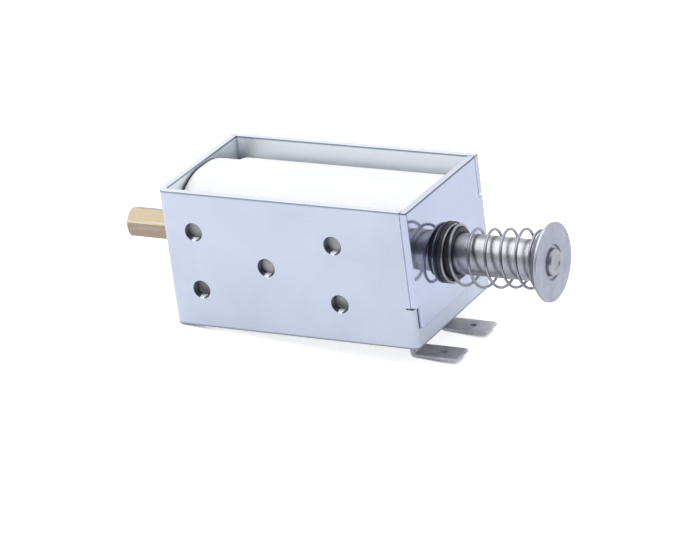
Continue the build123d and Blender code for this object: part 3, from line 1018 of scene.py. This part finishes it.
# %% [markdown]
# ## Terminals
# Each terminal is stamped from tinned brass strip and folded once. Its side outline is drawn as a closed
# line, with a quarter turn on each side of the fold and a tip that is thinned so that a receptacle slides
# on. The outline is filled and extruded over the strip's width. The tip's corners are cut off, and a small
# hole takes the receptacle's detent.

# %% Terminals
# gives the eye a dull grey that is paler along the edges
tin_plate = dull_zinc("tinned_brass_strip", "#D2D2D6", "#BEBEC4", 0.5)
tab_bend = 0.4 * mm
tip_taper = 0.5 * mm
tip_thin = 0.18 * mm
tip_corner = 0.4 * mm
detent_radius = 0.75 * mm
detent_from_tip = 5.0 * mm


def make_terminal(node, name):
    low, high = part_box(node)
    centre_y = (high.y + low.y) / 2
    left, top = low.x, low.z + tab_thick
    hinge_x, hinge_z = left + tab_thick + tab_bend, top + tab_bend
    turns = [math.pi / 2 * i / 10 for i in range(11)]
    inner, outer = [
        [Vector((hinge_x - radius * math.cos(a), low.y, hinge_z - radius * math.sin(a))) for a in turns]
        for radius in (tab_bend, tab_bend + tab_thick)
    ]
    nose = [(high.x - tip_taper, top), (high.x, top - tip_thin), (high.x, low.z + tip_thin),
            (high.x - tip_taper, low.z)]
    outline = [Vector((left, low.y, high.z)), Vector((left + tab_thick, low.y, high.z))] + inner
    outline += [Vector((x, low.y, z)) for x, z in nose] + outer[::-1]
    obj = drawn_line(name, outline, closed=True)
    everything()
    bpy.ops.mesh.edge_face_add()
    push((0, high.y - low.y, 0))
    clean(obj)
    edit(obj)
    pick(obj, "EDGE", lambda e: min(v.co.x for v in e.verts) > high.x - 0.01 * mm
         and abs(e.verts[0].co.y - e.verts[1].co.y) < 0.01 * mm)
    bpy.ops.mesh.bevel(offset=tip_corner, segments=2, affect="EDGES")
    clean(obj)
    soften(obj, 0.06 * mm)
    hole = primitive(bpy.ops.mesh.primitive_cylinder_add, "detent_cutter", vertices=48,
                     radius=detent_radius, depth=4 * mm,
                     location=(high.x - detent_from_tip, centre_y, low.z + tab_thick / 2))
    cut(obj, [hole])
    smooth(obj)
    seat(obj, "coil_body", "tinned_brass", node)
    wear(obj, tin_plate)


make_terminal("front_terminal", "front_tab_strip")
make_terminal("back_terminal", "back_tab_strip")

# %% [markdown]
# ## Finishes of the hidden pieces
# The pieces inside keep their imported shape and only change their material. They show when the object is
# taken apart, or through the gaps.

# %% Inner pieces
# gives the eye a milky plastic
white_nylon = moulded("moulded_white_nylon", "#EDEDE8", 0.45, 0.35 * mm, 0.005 * mm)
# gives the eye a red-brown metal in fine rings
copper_wire = turned_steel("enamelled_copper_wire", "#B8643C", "#9A4E2C", 0.32, 0.4 * mm, 0.05 * mm)
# gives the eye an amber gloss
film = moulded("amber_polyester_film", "#D8B45A", 0.22, 0.6 * mm, 0.003 * mm)
# gives the eye a matt brown board
fibre = moulded("vulcanised_fibre", "#8A5A40", 0.6, 0.25 * mm, 0.01 * mm)
# gives the eye a bright soft metal
solder = dull_zinc("soft_solder", "#C4C5CA", "#B2B3B8", 0.3)

node_finishes = {
    "bobbin": white_nylon, "winding": copper_wire, "winding_film": film, "guide_sleeve": brass_bar,
    "left_end_washer": fibre, "right_end_washer": fibre, "fixed_core": bar_steel,
    "residual_washer": brass_bar, "push_rod": rod_steel, "front_lead": copper_wire,
    "back_lead": copper_wire, "solder_joints": solder,
}
for node, material in node_finishes.items():
    wear(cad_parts[node], material)

# %% [markdown]
# ## Stage, light and camera
# The object lies on the heels of its two terminals and on its lower left edge, so it leans a little, and
# the floor is laid under them. A white floor and a white world stand for a light tent. Camera, glossy and
# transmission rays see them white, and the light that falls on the object stays at a plain level. The
# side of the room where the camera stands is dark in reflections. The floor has a painted shadow where the
# terminals stand close over it, so that their holes look dark.

# %% Floor
floor_gap = 0.02 * mm        # keeps the floor off the object's lowest edge
plain_glow, camera_glow = 0.25, 0.45
painted_shadow_reach = 2 * mm


def seen_rays(tree):
    """The light path, and 1 for camera, glossy and transmission rays."""
    path = add_node(tree, "ShaderNodeLightPath")
    seen = calc(tree, "MAXIMUM", path.outputs["Is Camera Ray"], path.outputs["Is Glossy Ray"])
    return path, calc(tree, "MAXIMUM", seen, path.outputs["Is Transmission Ray"])


def white_card():
    """White card for rays that light the object, and a glow on top for rays that are seen, with a painted
    contact shadow.
    """
    material = bpy.data.materials.new("white_sweep")
    material.use_nodes = True
    tree = material.node_tree
    tree.nodes.clear()
    path, seen = seen_rays(tree)
    card = add_node(tree, "ShaderNodeBsdfDiffuse", {"Color": colour("#E8E9EB")})
    strength = calc(tree, "MULTIPLY_ADD", path.outputs["Is Camera Ray"], camera_glow, plain_glow)
    # painted contact shadow: the glow dims where the terminals stand close over the floor
    painted_contact_shadow = span(tree, openness(tree, painted_shadow_reach), 0.28, 0.48, 0.1, 1.0)
    strength = calc(tree, "MULTIPLY", strength, painted_contact_shadow)
    glow = add_node(tree, "ShaderNodeEmission", {"Color": (1, 1, 1, 1)}, {"Strength": strength})
    shown = add_node(tree, "ShaderNodeAddShader", links={0: card.outputs[0], 1: glow.outputs[0]})
    surface = add_node(tree, "ShaderNodeMixShader",
                       links={0: seen, 1: card.outputs[0], 2: shown.outputs[0]})
    add_node(tree, "ShaderNodeOutputMaterial", links={"Surface": surface.outputs[0]})
    return material


def make_floor():
    tab_low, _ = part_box("front_terminal")
    heel = tab_bend + tab_thick
    reach, fall = tab_low.x + heel - x_left, z_bottom - tab_low.z - heel
    lean = math.atan2(fall, reach) + math.asin(heel / math.hypot(reach, fall))
    floor = primitive(bpy.ops.mesh.primitive_plane_add, "floor", size=6,
                      location=(x_left, axis.y, z_bottom - floor_gap), rotation=(0, lean, 0))
    # gives the eye an even white ground with no edge in sight
    wear(floor, white_card())


make_floor()

# %% World
world = bpy.data.worlds.new("light_tent")
bpy.context.scene.world = world
world.use_nodes = True
world_tree = world.node_tree
world_tree.nodes.clear()
_, world_seen = seen_rays(world_tree)
ambient = add_node(world_tree, "ShaderNodeBackground", {"Color": colour("#F4F7FF"), "Strength": 0.7})
dark_side = Vector((0.5, -0.8, 0.33)).normalized()
look = add_node(world_tree, "ShaderNodeTexCoord").outputs["Generated"]
room = add_node(world_tree, "ShaderNodeVectorMath", {1: tuple(dark_side)}, {0: look},
                operation="DOT_PRODUCT")
room = span(world_tree, room.outputs["Value"], 0.45, 0.85, 0.0, 0.9, eased=True)
tent = add_node(world_tree, "ShaderNodeBackground", {"Strength": 1.0},
                {"Color": blend(world_tree, room, (1.0, 1.0, 1.0, 1.0), colour("#4A4E58"))})
tent_mix = add_node(world_tree, "ShaderNodeMixShader",
                    links={0: world_seen, 1: ambient.outputs[0], 2: tent.outputs[0]})
add_node(world_tree, "ShaderNodeOutputWorld", links={"Surface": tent_mix.outputs[0]})

# %% Lamps
def softbox(name, spot, width, height, power):
    """A rectangular lamp that faces the object's middle."""
    lamp = bpy.data.lights.new(name, "AREA")
    lamp.shape = "RECTANGLE"
    lamp.size, lamp.size_y, lamp.energy = width, height, power
    obj = bpy.data.objects.new(name, lamp)
    bpy.context.scene.collection.objects.link(obj)
    obj.location = spot
    obj.rotation_euler = (axis - Vector(spot)).to_track_quat("-Z", "Y").to_euler()


softbox("key_softbox", (-0.24, -0.04, 0.68), 1.0, 1.0, 4.4)

# %% Camera
camera_place = Vector((0.45902, -0.71538, 0.35529))
azimuth, elevation, roll = (math.radians(v) for v in (31.515, 22.898, -7.53))
image_width = 679
focal_length = 3827.4        # in pixels of the image
sensor = 36.0

forward = Vector((-math.sin(azimuth) * math.cos(elevation), math.cos(azimuth) * math.cos(elevation),
                  -math.sin(elevation)))
level = Vector((math.cos(azimuth), math.sin(azimuth), 0))
lifted = level.cross(forward)
right = math.cos(roll) * level + math.sin(roll) * lifted
up = right.cross(forward)
camera_data = bpy.data.cameras.new("camera")
camera_data.sensor_width = sensor
camera_data.lens = focal_length / image_width * sensor
camera = bpy.data.objects.new("camera", camera_data)
bpy.context.scene.collection.objects.link(camera)
turn = Matrix((right, up, -forward)).transposed()
camera.matrix_world = Matrix.Translation(camera_place) @ turn.to_4x4()
bpy.context.scene.camera = camera
bpy.context.scene.view_settings.view_transform = "Standard"
